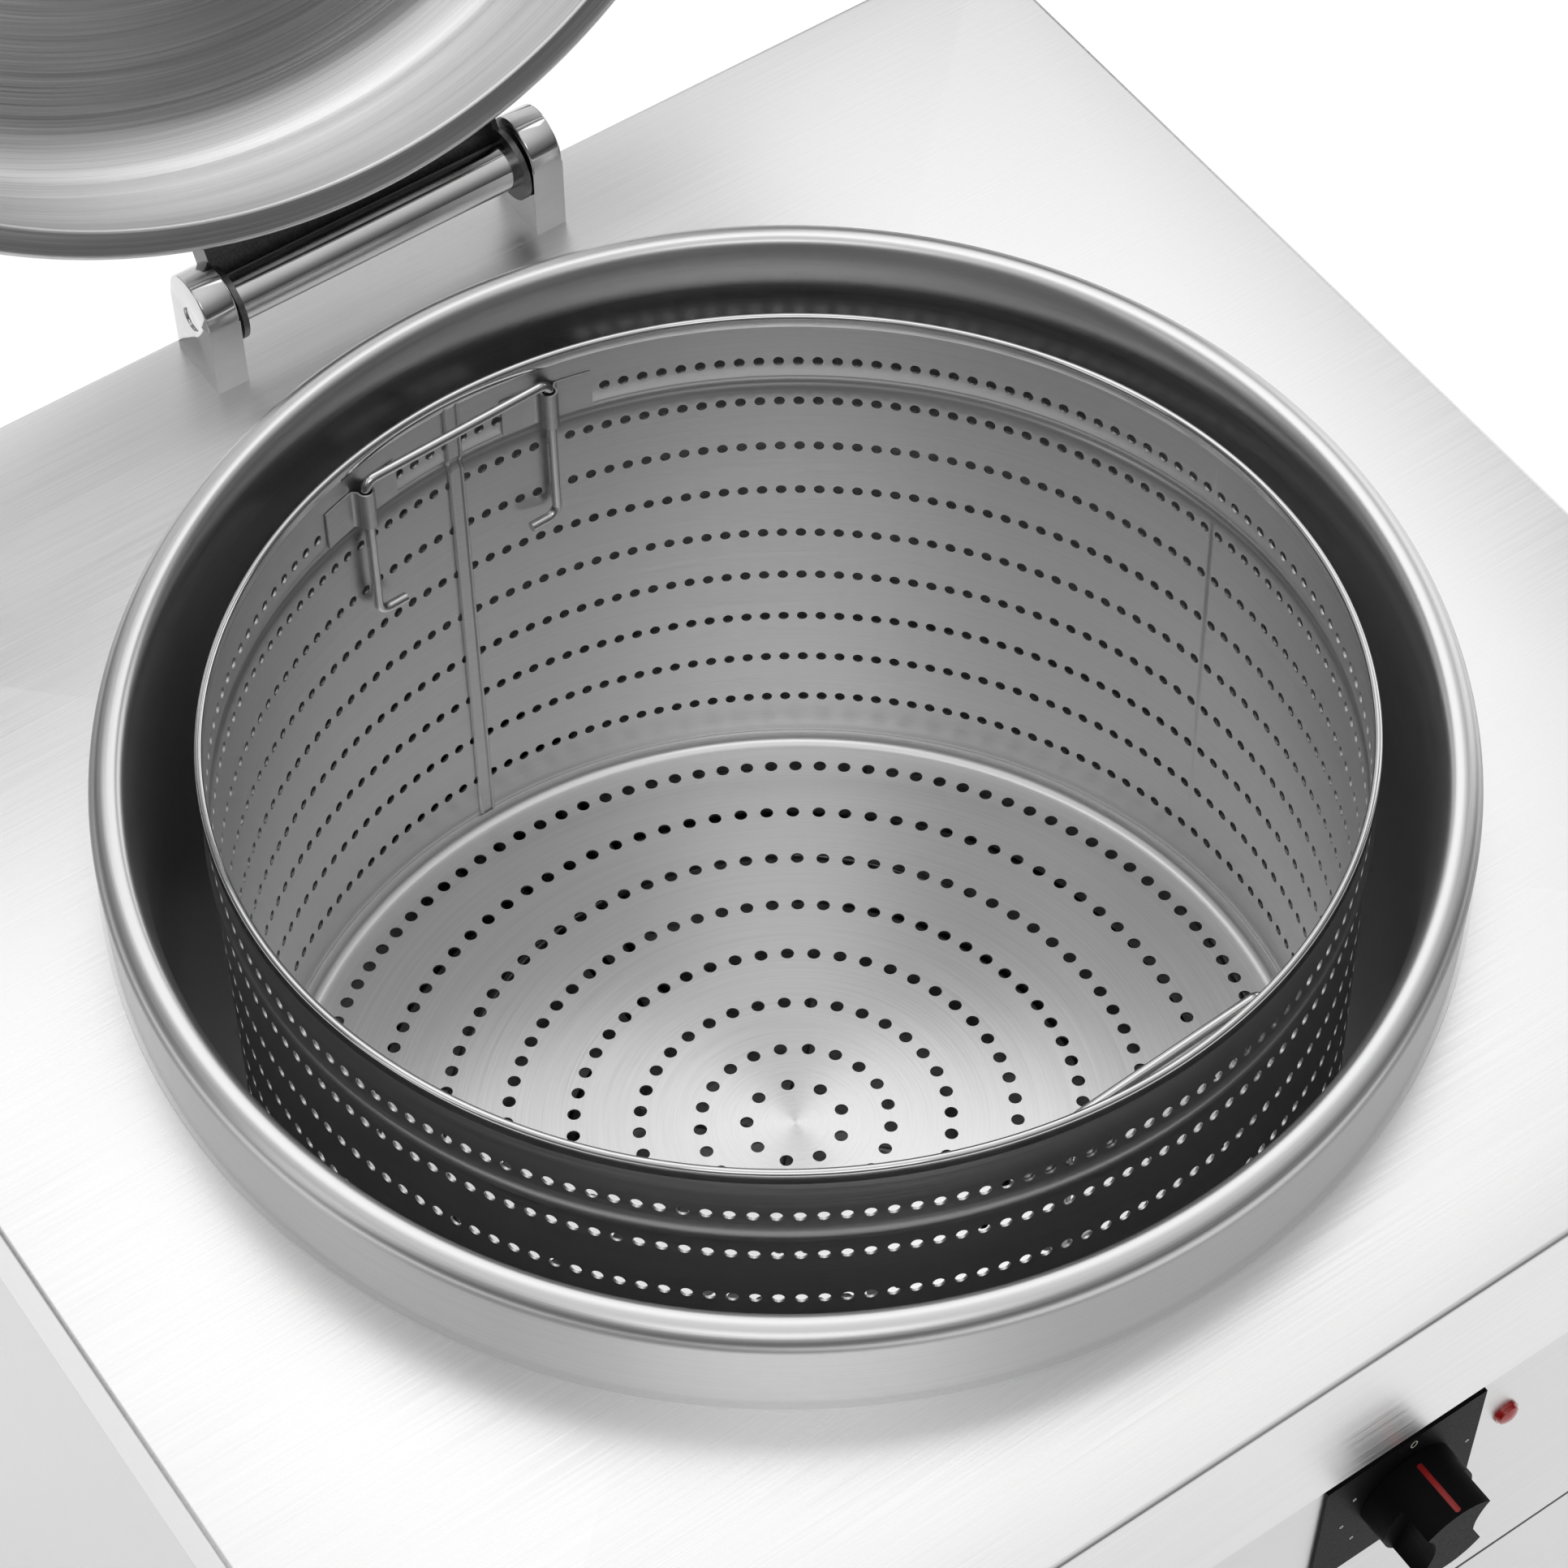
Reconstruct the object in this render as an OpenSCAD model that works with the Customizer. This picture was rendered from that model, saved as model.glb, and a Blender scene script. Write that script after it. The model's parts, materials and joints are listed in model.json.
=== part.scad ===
// Floor-standing round-well fryer with a lift-out basket and a hinged lid.
// Origin: floor level under the centre of the cabinet. +Z up, the control side faces -Y.
// All sizes are in millimetres.

/* [Cabinet] */
// Width of the worktop
width = 800; // [780:10:840]
// Depth of the worktop
depth = 770; // [760:10:800]
// Height of the worktop above the floor
top_z = 850; // [840:5:900]
// Height of the front apron of the worktop
front_apron = 103; // [95:1:108]
// Height of the side and rear aprons of the worktop
side_apron = 61; // [50:1:70]
// Height of the plinth under the cabinet
base_h = 150; // [130:5:155]
// Thickness of the worktop sheet
top_t = 2.5; // [2:0.5:3]
// Thickness of the panel sheet
sheet = 1.5; // [1:0.5:2]
// Height of the top edge of the doors
door_top = 532; // [520:1:534]

/* [Well] */
// Distance of the well's axis in front of the middle of the worktop
well_fwd = 12; // [8:1:16]
// Inside radius of the well
well_r = 287; // [286:0.5:288]
// Wall thickness of the well
well_t = 2; // [1.5:0.5:2.5]
// Outside radius of the raised rim
rim_r = 307; // [306:0.5:309]
// Height of the rim's crest above the worktop
rim_h = 54; // [50:1:55]
// Height of the well's bottom above the floor at its wall
well_bottom = 500; // [495:1:505]

/* [Basket] */
// Outside radius of the basket wall
basket_r = 261; // [258:0.5:261]
// Depth of the basket
basket_h = 298; // [290:1:298]
// Height of the basket's rim centre above the worktop
basket_z = 50.5; // [50.5:0.5:56]
// Lean of the basket towards the rear, in degrees
basket_lean = 6; // [5:0.5:6]
// Lean of the basket towards the right, in degrees
basket_roll = 3.2; // [2:0.2:3.2]
// Turn of the basket about its own axis, in degrees
basket_turn = 4.5; // [0:0.5:10]
// Wire diameter of the two bail handles
wire_d = 5; // [4:0.5:5]

/* [Lid] */
// Outside radius of the lid's rolled edge
lid_r = 340; // [338:0.5:341]
// Opening angle of the lid as drawn, in degrees
lid_open = 118; // [100:0.5:118]
// Depth of the lid's inner dish
lid_dish = 77; // [76:1:82]
// Height of the lid's edge above the worktop when it is shut
lid_z = 13; // [12:1:16]
// Height of the hinge axis above the worktop
hinge_z = 37; // [36:1:38]

/* [Controls] */
// Distance of the knob to the right of the middle
control_x = 78; // [60:1:90]
// Distance of the knob below the worktop
control_drop = 160; // [155:1:165]
// Diameter of the control knob
knob_d = 50; // [46:1:54]
// Distance that the knob stands out from its plate
knob_out = 34; // [30:1:36]

/* [Hidden] */

fine = 128;                                   // facets of the large round shapes
small = 32;                                   // facets of the small round shapes
eps = 0.5;                                    // overshoot of a cut past a face
gap = 0.3;                                    // clearance between neighbours

half_w = width / 2;
half_d = depth / 2;
front_y = -half_d;                            // plane of the front apron
well_y = -well_fwd;
panel_y = front_y + 5;                        // face of the control panel
panel_top = top_z - front_apron - 1;
door_z0 = base_h + 6;
door_t = 20;
bay_y = panel_y + 26;                         // plane of the frame behind the doors
pin_y = panel_y + 10;                         // line of the door pins
crest_r = (rim_r - well_r) / 2;               // radius of the rim's rolled crest
crest_c = well_r + crest_r;
crest_z = top_z + rim_h - crest_r;
drain_x = 150;                                // the drain leaves the well at its front right
drain_y = well_y - 170;
drain_d = 40;
valve_z = 400;
outlet_z = 320;                               // the outlet ends above a container in the bay
element_z = 535;
element_d = 8.5;
element_leg_d = 11;                           // the cold ends are thicker than the heated rings
port_z = 532;                                 // height of the element port in the rear wall
port_r = 58;
bulb_z = 551;
jacket_r = 318;

hinge_y = half_d - 25;                        // the hinge axis is close to the rear edge
hinge_x = 13;
hinge_ax = top_z + hinge_z;
block_off = 91.5;                             // middle of each hinge block from the hinge's middle
block_w = 17;
block_d = 37;
block_h = 62;
pin_d = 12;
ear_off = 80;
ear_t = 3;
tube_d = 24;
ear_r = 19;
lid_x = 15;
lid_y = well_y + 7;
lid_zz = top_z + lid_z;
lid_t = 1.2;
bead_r = 3.5;                                 // radius of the lid's rolled edge
dish_r = lid_r - 15;                          // inside radius of the skirt, clear of the well's rim
dish_corner = 34;
cover_r = lid_r - 7.5;
cover_h = lid_dish + 18;
cover_corner = 20;

knob_x = control_x;
knob_z = top_z - control_drop;
plate_w = 90;
plate_x = knob_x - 4;
plate_z = knob_z - 3;
plate_h = 90;
plate_t = 2;
knob_skirt = 16;
lamp_x = knob_x + 60;

sleeve_dx = 54;                               // handle leg from the middle of the bail
leg_len = 80;
bail_bend = 6;                                // bend radius of the bail's corners
sleeve_h = 19;
leg_r = basket_r - 2 - wire_d / 2 - 2.2;      // radius of the plane that the bail lies in
bail_y = sqrt(leg_r * leg_r - sleeve_dx * sleeve_dx);

// ---- helpers ----

// A box given by its low corner and its high corner.
module span(a, b) {
    translate(a)
        cube([b[0] - a[0], b[1] - a[1], b[2] - a[2]]);
}

// A straight round bar between two points that differ along one axis only.
module bar_x(x0, x1, y, z, d) {
    translate([x0, y, z])
        rotate([0, 90, 0])
            cylinder(d = d, h = x1 - x0, $fn = small);
}

module bar_y(y0, y1, x, z, d) {
    translate([x, y1, z])
        rotate([90, 0, 0])
            cylinder(d = d, h = y1 - y0, $fn = small);
}

module bar_z(z0, z1, x, y, d) {
    translate([x, y, z0])
        cylinder(d = d, h = z1 - z0, $fn = small);
}

module at_well() {
    translate([0, well_y, 0])
        children();
}

// The basket's own frame: origin at the centre of its rim, +Z along its axis.
module at_basket() {
    translate([9, well_y + 11.5, top_z + basket_z])
        rotate([-basket_lean, 0, 0])
            rotate([0, basket_roll, 0])
                rotate([0, 0, basket_turn])
                    children();
}

// The lid's frame when shut, turned about the hinge axis to its open place.
module at_lid() {
    translate([0, hinge_y, hinge_ax])
        rotate([-lid_open, 0, 0])
            translate([0, -hinge_y, -hinge_ax])
                children();
}

// ---- cabinet ----

module worktop() {
    color("gainsboro")
        difference() {
            union() {
                span([-half_w, -half_d, top_z - top_t], [half_w, half_d, top_z]);
                span([-half_w, -half_d, top_z - front_apron], [half_w, -half_d + top_t, top_z - top_t]);
                span([-half_w, half_d - top_t, top_z - side_apron], [half_w, half_d, top_z - top_t]);
                for (s = [0, 1])
                    translate([s * (width - top_t) - half_w, -half_d + top_t, top_z - side_apron])
                        cube([top_t, depth - 2 * top_t, side_apron - top_t]);
            }
            at_well()
                translate([0, 0, top_z - top_t - eps])
                    cylinder(r = rim_r - 7, h = top_t + 2 * eps, $fn = fine);
            for (s = [-1, 1], dy = [-9, 9])
                bar_z(top_z - top_t - eps, top_z + eps, hinge_x + s * block_off, hinge_y + dy, 8);
        }
}

module left_side_panel() {
    color("silver")
        side_panel(-1);
}

module right_side_panel() {
    color("silver")
        side_panel(1);
}

module side_panel(s) {
    z1 = top_z - side_apron - gap;
    mirror([s > 0 ? 0 : 1, 0, 0]) {
        span([half_w - sheet, bay_y - sheet, base_h], [half_w, half_d - sheet, z1]);
        span([half_w - sheet - 18, bay_y - sheet, base_h], [half_w - sheet, bay_y, z1]);
        // Upper return that the worktop is screwed down on.
        span([half_w - 20, panel_y + 60, z1 - sheet], [half_w - sheet, half_d - 20, z1]);
    }
}

module rear_panel() {
    color("silver")
        difference() {
            span([-half_w, half_d - sheet, base_h], [half_w, half_d, top_z - side_apron - gap]);
            bar_y(half_d - sheet - eps, half_d + eps, -260, 240, 25);
            // Louvres that let the element compartment breathe.
            for (k = [0:5])
                span([-90, half_d - sheet - eps, 640 + 16 * k], [90, half_d + eps, 645 + 16 * k]);
        }
}

module cabinet_floor() {
    color("silver")
        span([-half_w + sheet, bay_y, base_h], [half_w - sheet, half_d - sheet, base_h + sheet]);
}

module front_frame() {
    color("silver") {
        for (s = [-1, 1])
            translate([s * (half_w - 30) - 10, bay_y, base_h + sheet])
                cube([20, sheet, panel_top - base_h - sheet - 6]);
        span([-half_w + 40, bay_y, door_top - 14], [half_w - 40, bay_y + sheet, door_top + 12]);
    }
}

module control_panel() {
    color("lightgray")
        difference() {
            union() {
                span([-half_w, panel_y, door_top + 3], [half_w, panel_y + sheet, panel_top]);
                for (s = [0, 1])
                    translate([s * (width - sheet) - half_w, panel_y + sheet, door_top + 3])
                        cube([sheet, 20, panel_top - door_top - 3]);
                // Lower return that carries the upper door pins.
                span([-half_w + sheet, panel_y + sheet, door_top + 3],
                    [half_w - sheet, bay_y - sheet, door_top + 3 + sheet]);
            }
            for (s = [-1, 1])
                bar_z(door_top, door_top + 10, s * (half_w - 10), pin_y, 8);
            bar_y(panel_y - eps, panel_y + sheet + eps, knob_x, knob_z, 14);
            bar_y(panel_y - eps, panel_y + sheet + eps, lamp_x, knob_z - 1, 10);
        }
}

// ---- doors ----

// Frame of a door: origin on its vertical hinge line, opening side towards +X for s = 1.
module door_shell(s) {
    x0 = s > 0 ? 1 : -half_w + 1;
    x1 = s > 0 ? half_w - 1 : -1;
    hinge_line = s * (half_w - 10);
    difference() {
        span([x0, panel_y, door_z0], [x1, panel_y + door_t, door_top]);
        // The back is open between the folded edges.
        span([x0 + 14, panel_y + sheet, door_z0 + 14], [x1 - 14, panel_y + door_t + eps, door_top - 14]);
        for (z = [door_z0 - eps, door_top - 12])
            bar_z(z, z + 12 + eps, hinge_line, pin_y, 8.1);
    }
}

module left_door() {
    color("lightgray")
        door_shell(-1);
}

module right_door() {
    color("lightgray")
        door_shell(1);
}

module door_handle(s) {
    x = s * 42;
    bar_z(330, 490, x, panel_y - 30, 12);
    for (z = [345, 475])
        bar_y(panel_y - 30, panel_y, x, z, 9);
}

module left_door_handle() {
    color("gainsboro")
        door_handle(-1);
}

module right_door_handle() {
    color("gainsboro")
        door_handle(1);
}

module door_brackets() {
    color("darkgray")
        for (s = [-1, 1])
            mirror([s > 0 ? 0 : 1, 0, 0])
                difference() {
                    span([half_w - 20, panel_y + 4, base_h + 1.6], [half_w - 4, bay_y - sheet, base_h + 4.6]);
                    bar_z(base_h, base_h + 6, half_w - 10, pin_y, 8);
                }
}

module door_pins() {
    color("dimgray")
        for (s = [-1, 1]) {
            bar_z(base_h + 1.6, door_z0 + 10, s * (half_w - 10), pin_y, 8);
            bar_z(door_top - 10, door_top + 3 + sheet, s * (half_w - 10), pin_y, 8);
        }
}

module door_magnets() {
    color("dimgray")
        for (s = [-1, 1])
            translate([s * 40 - 18, panel_y + door_t + gap, door_top - 14])
                cube([36, bay_y - panel_y - door_t - gap, 12]);
}

// ---- plinth ----

// A recessed ring of folded sheet, with a flange inwards at its foot and at its top.
module plinth() {
    flange = 40;
    x = half_w - 30;
    y0 = -half_d + 60;
    y1 = half_d - 30;
    color("gray")
        difference() {
            span([-x, y0, 0], [x, y1, base_h]);
            span([-x + 2, y0 + 2, 2], [x - 2, y1 - 2, base_h - 2]);
            span([-x + flange, y0 + flange, -eps], [x - flange, y1 - flange, base_h + eps]);
        }
}

// ---- well ----

// Outline of the well's sheet: wall, rolled crest and outer skirt.
module well_outline() {
    difference() {
        union() {
            translate([0, well_bottom - well_t])
                square([well_r + well_t, crest_z - well_bottom + well_t]);
            translate([0, crest_z])
                square([well_r + crest_r, crest_r]);
            intersection() {
                translate([crest_c, crest_z])
                    circle(r = crest_r, $fn = 64);
                translate([well_r, crest_z])
                    square(2 * crest_r);
            }
            translate([crest_c, top_z])
                square([crest_r, crest_z - top_z]);
            translate([rim_r - 0.5, top_z])
                square([2.5, 2.5]);
        }
        translate([-1, well_bottom - well_t - eps])
            square([well_r + 1, crest_z + crest_r - well_bottom + well_t + 2 * eps]);
        translate([crest_c, crest_z])
            difference() {
                circle(r = crest_r - well_t, $fn = 64);
                translate([-crest_r, -2 * crest_r])
                    square(2 * crest_r);
            }
        translate([well_r + well_t, top_z - 80])
            square([2 * crest_r - 2 * well_t, crest_z - top_z + 80]);
    }
}

module well() {
    color("gray")
        difference() {
            at_well()
                rotate_extrude($fn = fine)
                    well_outline();
            bar_y(well_y + 200, well_y + well_r + 20, 0, port_z, 2 * port_r);
            bar_y(well_y - well_r - 20, well_y - 150, knob_x, bulb_z, 6);
        }
}

// The welded bottom of the well, with the drain's hole.
module well_base() {
    color("gray")
        difference() {
            at_well()
                translate([0, 0, well_bottom - well_t])
                    cylinder(r = well_r, h = well_t, $fn = fine);
            bar_z(well_bottom - well_t - eps, well_bottom + eps, drain_x, drain_y, drain_d);
        }
}

// A ring round the well that leaves room for the element port and the bulb's tube.
module jacket_ring(r0, r1, z0, z1) {
    difference() {
        at_well()
            translate([0, 0, z0])
                difference() {
                    cylinder(r = r1, h = z1 - z0, $fn = fine);
                    translate([0, 0, -eps])
                        cylinder(r = r0, h = z1 - z0 + 2 * eps, $fn = fine);
                }
        bar_y(well_y + 200, well_y + jacket_r + 20, 0, port_z, 2 * port_r + 10);
        bar_y(well_y - jacket_r - 20, well_y - 150, knob_x, bulb_z, 8);
    }
}

module well_insulation() {
    color("khaki")
        jacket_ring(well_r + well_t + 0.2, jacket_r - 0.2, well_bottom, top_z - 40);
}

module well_jacket() {
    color("silver")
        jacket_ring(jacket_r, jacket_r + 1, well_bottom, top_z - 40);
}

// One tubular element: nearly a full ring, with two thicker cold ends that leave through the rear.
module element(r, leg) {
    a = asin(leg / r);
    y = well_y + r * cos(a);
    at_well()
        translate([0, 0, element_z])
            rotate([0, 0, 90 + a])
                rotate_extrude(angle = 360 - 2 * a, $fn = 96)
                    translate([r, 0])
                        circle(d = element_d, $fn = 16);
    for (s = [-1, 1])
        bar_y(y - element_leg_d / 2, half_d - 50, s * leg, element_z, element_leg_d);
}

module heating_elements() {
    color("dimgray") {
        element(110, 12);
        element(165, 27);
        element(220, 42);
    }
}

module element_neck() {
    color("gray")
        difference() {
            translate([0, well_y + 270, port_z])
                rotate([-90, 0, 0])
                    difference() {
                        cylinder(r = port_r, h = half_d - 72 - well_y - 270, $fn = 64);
                        translate([0, 0, -eps])
                            cylinder(r = port_r - 2, h = half_d - 71 - well_y - 270, $fn = 64);
                    }
            at_well()
                cylinder(r = well_r, h = top_z, $fn = fine);
        }
}

module element_flange() {
    color("silver")
        difference() {
            union() {
                bar_y(half_d - 72, half_d - 64, 0, port_z, 2 * port_r + 14);
                for (a = [30:60:359])
                    bar_y(half_d - 64, half_d - 58, 60 * cos(a), port_z + 60 * sin(a), 7);
            }
            for (x = [12, 27, 42], s = [-1, 1])
                bar_y(half_d - 73, half_d - 63, s * x, element_z, element_leg_d);
        }
}

module element_cover() {
    color("lightgray")
        difference() {
            span([-85, half_d - 56, port_z - 85], [85, half_d - sheet - 1, port_z + 85]);
            span([-83, half_d - 56 - eps, port_z - 83], [83, half_d - sheet - 3, port_z + 83]);
        }
}

module support_grid() {
    z = 564.5;
    color("silver")
        intersection() {
            union() {
                for (r = [90, 170, 250])
                    at_well()
                        translate([0, 0, z])
                            rotate_extrude($fn = fine)
                                translate([r, 0])
                                    circle(d = 5, $fn = small);
                for (a = [0, 90])
                    translate([0, well_y, z - 5])
                        rotate([0, 0, a + 45])
                            rotate([0, 90, 0])
                                cylinder(d = 5.4, h = 504, center = true, $fn = small);
                for (a = [45:90:359])
                    bar_z(well_bottom, z - 5, 195 * cos(a), well_y + 195 * sin(a), 6);
            }
            translate([-300, -320, well_bottom])
                cube([600, 620, 100]);
        }
}

module drain_strainer() {
    color("silver")
        translate([drain_x, drain_y, well_bottom])
            difference() {
                union() {
                    cylinder(d = 56, h = 1.5, $fn = small * 2);
                    cylinder(d = 36, h = 14, $fn = small * 2);
                }
                translate([0, 0, -eps])
                    cylinder(d = 33, h = 13, $fn = small * 2);
                for (a = [0:45:359])
                    rotate([0, 0, a])
                        translate([10, -1.5, 3])
                            cube([12, 3, 8]);
            }
}

// ---- drain ----

module drain_pipe() {
    color("silver")
        translate([drain_x, drain_y, 0])
            difference() {
                translate([0, 0, valve_z + 38])
                    cylinder(d = drain_d, h = well_bottom - valve_z - 38, $fn = small * 2);
                translate([0, 0, valve_z + 37])
                    cylinder(d = drain_d - 4, h = well_bottom - valve_z, $fn = small * 2);
            }
}

module drain_valve() {
    color("silver")
        difference() {
            union() {
                translate([drain_x, drain_y, valve_z])
                    sphere(d = 64, $fn = 64);
                for (z = [valve_z - 38, valve_z + 20])
                    translate([drain_x, drain_y, z])
                        cylinder(d = 56, h = 18, $fn = 6);
                bar_y(drain_y - 44, drain_y, drain_x, valve_z, 22);
                bar_y(drain_y - 56, drain_y - 44, drain_x, valve_z, 10);
            }
            bar_z(valve_z - 60, valve_z - 14, drain_x, drain_y, drain_d - 8);
            bar_z(valve_z + 14, valve_z + 60, drain_x, drain_y, drain_d - 8);
        }
}

module valve_lever() {
    color("firebrick")
        difference() {
            union() {
                bar_y(drain_y - 51, drain_y - 45, drain_x, valve_z, 26);
                span([drain_x - 130, drain_y - 49, valve_z - 8], [drain_x - 6, drain_y - 45, valve_z + 8]);
                span([drain_x - 136, drain_y - 52, valve_z - 10], [drain_x - 56, drain_y - 42, valve_z + 10]);
            }
            bar_y(drain_y - 60, drain_y - 30, drain_x, valve_z, 10.1);
        }
}

module lever_nut() {
    color("silver")
        difference() {
            translate([drain_x, drain_y - 51.3, valve_z])
                rotate([90, 0, 0])
                    cylinder(d = 17, h = 4.5, $fn = 6);
            bar_y(drain_y - 60, drain_y - 50, drain_x, valve_z, 10);
        }
}

module drain_outlet() {
    color("silver")
        translate([drain_x, drain_y, 0])
            difference() {
                translate([0, 0, outlet_z])
                    cylinder(d = drain_d, h = valve_z - 38 - outlet_z, $fn = small * 2);
                translate([0, 0, outlet_z - 1])
                    cylinder(d = drain_d - 4, h = valve_z - outlet_z, $fn = small * 2);
            }
}

// ---- controls ----

module control_plate() {
    color("black")
        difference() {
            translate([plate_x - plate_w / 2, panel_y - plate_t, plate_z - plate_h / 2])
                cube([plate_w, plate_t, plate_h]);
            bar_y(panel_y - plate_t - eps, panel_y + eps, knob_x, knob_z, 14);
        }
}

module control_knob() {
    y1 = panel_y - plate_t - gap;
    y0 = y1 - knob_out;
    color("black")
        difference() {
            bar_y(y0, y1, knob_x, knob_z, knob_d);
            for (s = [-1, 1])
                translate([knob_x + s * 38, y0 - eps, knob_z])
                    rotate([-90, 0, 0])
                        cylinder(d = 54, h = knob_out - knob_skirt + eps, $fn = 64);
            bar_y(y1 - 20, y1 + eps, knob_x, knob_z, 6);
        }
}

module knob_shaft() {
    y1 = panel_y - plate_t - gap;
    color("darkgray")
        bar_y(y1 - 20, panel_y + 10, knob_x, knob_z, 6);
}

module thermostat() {
    color("gray")
        difference() {
            union() {
                span([knob_x - 24, panel_y + 9, knob_z - 24], [knob_x + 24, panel_y + 36, knob_z + 24]);
                bar_y(panel_y + sheet, panel_y + 9, knob_x, knob_z, 20);
                for (x = [-15, 0, 15])
                    translate([knob_x + x - 3, panel_y + 14, knob_z + 24])
                        cube([6, 1, 8]);
            }
            bar_y(panel_y, panel_y + 20, knob_x, knob_z, 6.1);
        }
}

module thermostat_bulb() {
    y0 = panel_y + 26;
    color("goldenrod") {
        bar_z(bulb_z, knob_z - 24, knob_x, y0, 3);
        translate([knob_x, y0, bulb_z])
            sphere(d = 3, $fn = small);
        bar_y(y0, well_y - 276, knob_x, bulb_z, 3);
        bar_y(well_y - 276, well_y - 160, knob_x, bulb_z, 6);
    }
}

module pilot_lens() {
    color("red")
        translate([lamp_x, panel_y, knob_z - 1])
            rotate([90, 0, 0])
                rotate_extrude($fn = small * 2)
                    union() {
                        square([6.5, 1.5]);
                        intersection() {
                            translate([0, -4.6])
                                circle(r = 9.5, $fn = 64);
                            translate([0, 1.5])
                                square([5.5, 10]);
                        }
                    }
}

module pilot_lamp() {
    color("dimgray") {
        bar_y(panel_y, panel_y + 28, lamp_x, knob_z - 1, 10);
        bar_y(panel_y + sheet, panel_y + 6, lamp_x, knob_z - 1, 15);
    }
}

module equipment_plate() {
    color("silver")
        difference() {
            span([-half_w + 30, -150, 200], [-half_w + 32, 150, 480]);
            bar_x(-half_w + 29, -half_w + 33, -100, 420, 12);
        }
    color("silver")
        for (y = [-130, 130], z = [215, 465])
            bar_x(-half_w + sheet, -half_w + 30, y, z, 10);
}

module limit_thermostat() {
    x = -half_w + 32;
    color("whitesmoke")
        difference() {
            union() {
                span([x, -120, 396], [x + 26, -80, 444]);
                bar_x(x + 26, x + 34, -100, 420, 16);
            }
            bar_x(x + 18, x + 35, -100, 420, 8.2);
        }
}

module reset_button() {
    x = -half_w + 32;
    color("red")
        bar_x(x + 22, x + 38, -100, 420, 8);
}

module contactor() {
    x = -half_w + 32;
    color("dimgray") {
        span([x, -40, 300], [x + 50, 30, 380]);
        span([x + 50, -34, 315], [x + 72, 24, 365]);
        for (k = [0:3])
            span([x + 10, -32 + 15 * k, 380], [x + 40, -23 + 15 * k, 386]);
    }
}

module terminal_block() {
    x = -half_w + 32;
    color("ivory")
        for (k = [0:4])
            span([x, 50 + 15 * k, 300], [x + 36, 64 + 15 * k, 340]);
}

module cable_gland() {
    color("dimgray")
        difference() {
            union() {
                bar_y(half_d - sheet - 18, half_d, -260, 240, 25);
                translate([-260, half_d - sheet, 240])
                    rotate([90, 0, 0])
                        cylinder(d = 36, h = 5, $fn = 6);
                translate([-260, half_d + 9, 240])
                    rotate([90, 0, 0])
                        cylinder(d = 36, h = 9, $fn = 6);
                bar_y(half_d + 9, half_d + 24, -260, 240, 28);
            }
            bar_y(half_d - 40, half_d + 30, -260, 240, 14);
        }
}

// ---- lid hinge ----

// One polished block: square foot, round top, bored for the hinge pin.
module hinge_block(s) {
    x = hinge_x + s * block_off - block_w / 2;
    r = block_d / 2;
    difference() {
        union() {
            translate([x, hinge_y - r, top_z])
                cube([block_w, block_d, block_h - r]);
            bar_wide(x, x + block_w, hinge_y, top_z + block_h - r, block_d);
        }
        bar_x(x - eps, x + block_w + eps, hinge_y, hinge_ax, pin_d);
        for (dy = [-9, 9])
            bar_z(top_z - eps, top_z + 14, hinge_x + s * block_off, hinge_y + dy, 8);
    }
}

module bar_wide(x0, x1, y, z, d) {
    translate([x0, y, z])
        rotate([0, 90, 0])
            cylinder(d = d, h = x1 - x0, $fn = fine);
}

module left_hinge_block() {
    color("white")
        hinge_block(-1);
}

module right_hinge_block() {
    color("white")
        hinge_block(1);
}

module hinge_pins() {
    color("silver")
        for (s = [-1, 1])
            mirror_about_hinge(s)
                bar_x(hinge_x + ear_off - 14, hinge_x + block_off + block_w / 2 - 1,
                    hinge_y, hinge_ax, pin_d);
}

module mirror_about_hinge(s) {
    translate([hinge_x, 0, 0])
        mirror([s > 0 ? 0 : 1, 0, 0])
            translate([-hinge_x, 0, 0])
                children();
}

module hinge_bolts() {
    color("dimgray")
        for (s = [-1, 1], dy = [-9, 9]) {
            x = hinge_x + s * block_off;
            bar_z(top_z - top_t, top_z + 12, x, hinge_y + dy, 8);
            translate([x, hinge_y + dy, top_z - top_t - 5])
                cylinder(d = 14.5, h = 5, $fn = 6);
        }
}

module hinge_tube() {
    x = ear_off - ear_t / 2;
    color("white")
        at_lid()
            difference() {
                bar_x(hinge_x - x, hinge_x + x, hinge_y, hinge_ax, tube_d);
                bar_x(hinge_x - x - eps, hinge_x + x + eps, hinge_y, hinge_ax, pin_d + 0.1);
            }
}

// Solid envelope of the lid above its rolled edge.
module lid_envelope() {
    c = cover_corner;
    translate([lid_x, lid_y, lid_zz])
        rotate_extrude($fn = fine) {
            square([cover_r, cover_h - c]);
            square([cover_r - c, cover_h]);
            intersection() {
                translate([cover_r - c, cover_h - c])
                    circle(r = c, $fn = 64);
                translate([cover_r - c, cover_h - c])
                    square(c);
            }
        }
}

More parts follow.
